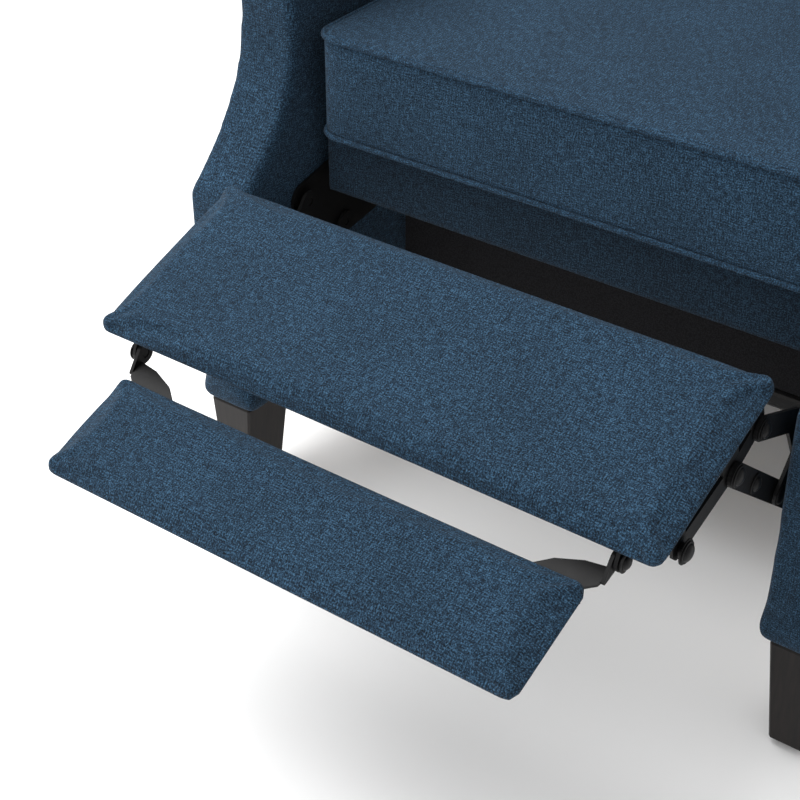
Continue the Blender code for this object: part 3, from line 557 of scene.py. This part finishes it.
def makeWing():
    wing = copyNode("wing_right", "wingPad_right")
    low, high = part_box("wing_right")

    def sewn(co):
        return co.x < low.x + 0.004

    stuff(wing, 0.006, sewn, 0.008, 3.0, lambda co: Vector((max(co.x, low.x), co.y, co.z)))
    left = mirrored(wing, "wingPad_left")
    finishPad(wing, "backrest", "upholstery", 0.75, "wing_right")
    finishPad(left, "backrest", "upholstery", 0.75, "wing_left")
    print("wings stuffed", len(wing.data.polygons))


makeWing()


def makeFlatPanel(name, node, body, turn, cap):
    low, high = localBox([node], turn)
    panel = addBlock(name, low, high)
    bevelEdges(panel, lambda m, d: True, 0.004, 2)
    stuff(panel, 0.006, lambda co: co.y < low.y + 0.005, cap, 3.0,
          lambda co: Vector((co.x, max(co.y, low.y), co.z)))
    turnIntoPlace(panel, turn)
    finishPad(panel, body, "upholstery", 0.6, node)
    print(name, "stuffed", len(panel.data.polygons))


makeFlatPanel("backOuterCover", "back_outer_panel", "backrest", backTilt, 0.004)
makeFlatPanel("rearPanelCover", "rear_panel", "base", 0, 0.004)


rivetShape = {"dome": 0.0034, "head": 0.0074, "washer": 0.0105, "washerThickness": 0.0013,
              "spacer": 0.0062, "stopPlace": 0.44}   # the stop is clear of the folded front link


def addDisc(name, place, side, radius, start, thickness, body, material):
    # a round washer or spacer lying flat against a plate
    bpy.ops.object.select_all(action="DESELECT")
    middle = Vector((side * (start + thickness / 2), place.y, place.z))
    bpy.ops.mesh.primitive_cylinder_add(vertices=28, radius=radius, depth=thickness,
                                        location=middle, rotation=(0, math.pi / 2, 0))
    disc = bpy.context.object
    disc.name = disc.data.name = name
    bpy.ops.object.transform_apply(location=True, rotation=True, scale=True)
    bevelEdges(disc, lambda m, d: abs(d.x) < 0.5 and abs(abs(m.x - middle.x) - thickness / 2) < 1e-5,
               min(0.0003, thickness / 5), 2)
    smooth(disc, 40)
    dress(disc, material)
    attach(disc, body)
    return disc


def addRivetHead(name, place, side, start, body, washers=1, scale=1.0):
    # a domed head peened over a stack of washers, outside the plate that it holds
    look = rivetShape
    for number in range(washers):
        addDisc(f"{name}Washer{number + 1}", place, side, look["washer"] * scale * (1 - 0.12 * number),
                start, look["washerThickness"], body, blackSteel)
        start += look["washerThickness"] + 0.0001
    bpy.ops.object.select_all(action="DESELECT")
    bpy.ops.mesh.primitive_uv_sphere_add(segments=24, ring_count=12, radius=look["head"] * scale)
    head = bpy.context.object
    head.name = head.data.name = name
    head.scale = (look["dome"] / look["head"] / scale, 1, 1)
    head.location = (side * start, place.y, place.z)
    bpy.ops.object.transform_apply(location=True, scale=True)
    bpy.ops.object.mode_set(mode="EDIT")
    bpy.ops.mesh.select_all(action="SELECT")
    bpy.ops.mesh.bisect(plane_co=(side * start, 0, 0), plane_no=(-side, 0, 0), use_fill=True,
                        clear_outer=True)
    bpy.ops.object.mode_set(mode="OBJECT")
    smooth(head, 60)
    dress(head, rivetSteel)
    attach(head, body)


def makeRivets():
    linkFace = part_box("lower_link_right")[1].x + 0.0001
    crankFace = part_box("front_link_right")[1].x + 0.0001
    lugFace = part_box("flipper_bracket_right")[1].x + 0.0056
    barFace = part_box("footrest_bracket_right")[1].x + 0.0001
    nose = Matrix.Rotation(footTilt, 3, "X") @ localNose()
    lowerEnd = pivots["footrest_pin"]
    upperEnd = lowerEnd + pivots["upper_link_pin"] - pivots["lower_link_pin"]
    stopPlace = lowerEnd.lerp(pivots["lower_link_pin"], rivetShape["stopPlace"])
    for name, side in sides.items():
        addRivetHead(f"lowerRivet_{name}", lowerEnd, side, linkFace, "lower_links", 2)
        addRivetHead(f"upperRivet_{name}", upperEnd, side, linkFace, "upper_links", 2, 0.9)
        addRivetHead(f"crankRivet_{name}", pivots["lower_link_pin"], side, crankFace,
                     "front_links", 0, 1.2)
        addRivetHead(f"stopRivet_{name}", stopPlace, side, linkFace, "lower_links", 1, 0.85)
        addRivetHead(f"flipperRivet_{name}", pivots["flipper_pin"], side, lugFace, "footrest", 1, 0.85)
        addDisc(f"noseSpacer_{name}", nose, side, rivetShape["spacer"], barFace, 0.004, "footrest",
                rivetSteel)
        addRivetHead(f"noseRivet_{name}", nose, side, barFace + 0.0041, "footrest", 2)


def localNose():
    low, high = localBox(["footrest_bracket_right"], footTilt)
    return Vector((0, low.y + 0.010, low.z + 0.0162))


makeRivets()


threadLook = {"length": 0.005, "radius": 0.0004}


def makeLooseThread():
    # one cut end of sewing thread at the flipper's back corner
    low, high = localBox(["flipper_pad"], footTilt)
    look = threadLook
    bpy.ops.object.select_all(action="DESELECT")
    start = Vector((high.x, high.y - 0.012, low.z))
    bpy.ops.mesh.primitive_cylinder_add(vertices=8, radius=look["radius"], depth=look["length"],
                                        location=start + Vector((0.0015, 0, -0.001)),
                                        rotation=(0.3, math.radians(118), 0))
    thread = bpy.context.object
    thread.name = thread.data.name = "looseThread"
    bpy.ops.object.transform_apply(location=True, rotation=True, scale=True)
    turnIntoPlace(thread, footTilt)
    smooth(thread, 60)
    dress(thread, dustCloth)
    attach(thread, "flipper")


makeLooseThread()


def makeStage():
    bpy.ops.object.select_all(action="DESELECT")
    bpy.ops.mesh.primitive_plane_add(size=30, location=(0, 0, 0))
    floor = bpy.context.object
    floor.name = floor.data.name = "studioFloor"
    material, tree, shader = newMaterial("matWhitePaper", Roughness=0.9, Specular_IOR_Level=0.1)
    shader.inputs["Base Color"].default_value = hexColor("#f7f7f7")
    dress(floor, material)
    world = scene.world or bpy.data.worlds.new("studio")
    scene.world = world
    world.use_nodes = True
    sky = world.node_tree.nodes["Background"]
    sky.inputs["Color"].default_value = hexColor("#ffffff")
    sky.inputs["Strength"].default_value = 0.7
    scene.view_settings.view_transform = "Standard"
    for name, place, size, power in (
            ("overheadSoftbox", (-1.3, -0.7, 2.9), 2.4, 122),
            ("frontSoftbox", (-1.2, -3.0, 2.0), 1.8, 34)):
        light = bpy.data.lights.new(name, "AREA")
        light.size = size
        light.energy = power
        lamp = bpy.data.objects.new(name, light)
        scene.collection.objects.link(lamp)
        lamp.location = place
        lamp.rotation_euler = (Vector((0, -0.2, 0.4)) - Vector(place)).to_track_quat(
            "-Z", "Y").to_euler()


def makeCamera():
    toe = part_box("arm_cover_right")[0].y
    data = bpy.data.cameras.new("camera")
    data.lens = 73.49
    data.sensor_width = 36
    camera = bpy.data.objects.new("camera", data)
    scene.collection.objects.link(camera)
    camera.location = (0.6207, toe - 0.9939, 1.0814)
    camera.rotation_euler = (math.radians(54.84), 0, math.radians(35.59))
    scene.camera = camera


makeStage()
makeCamera()
print("done")
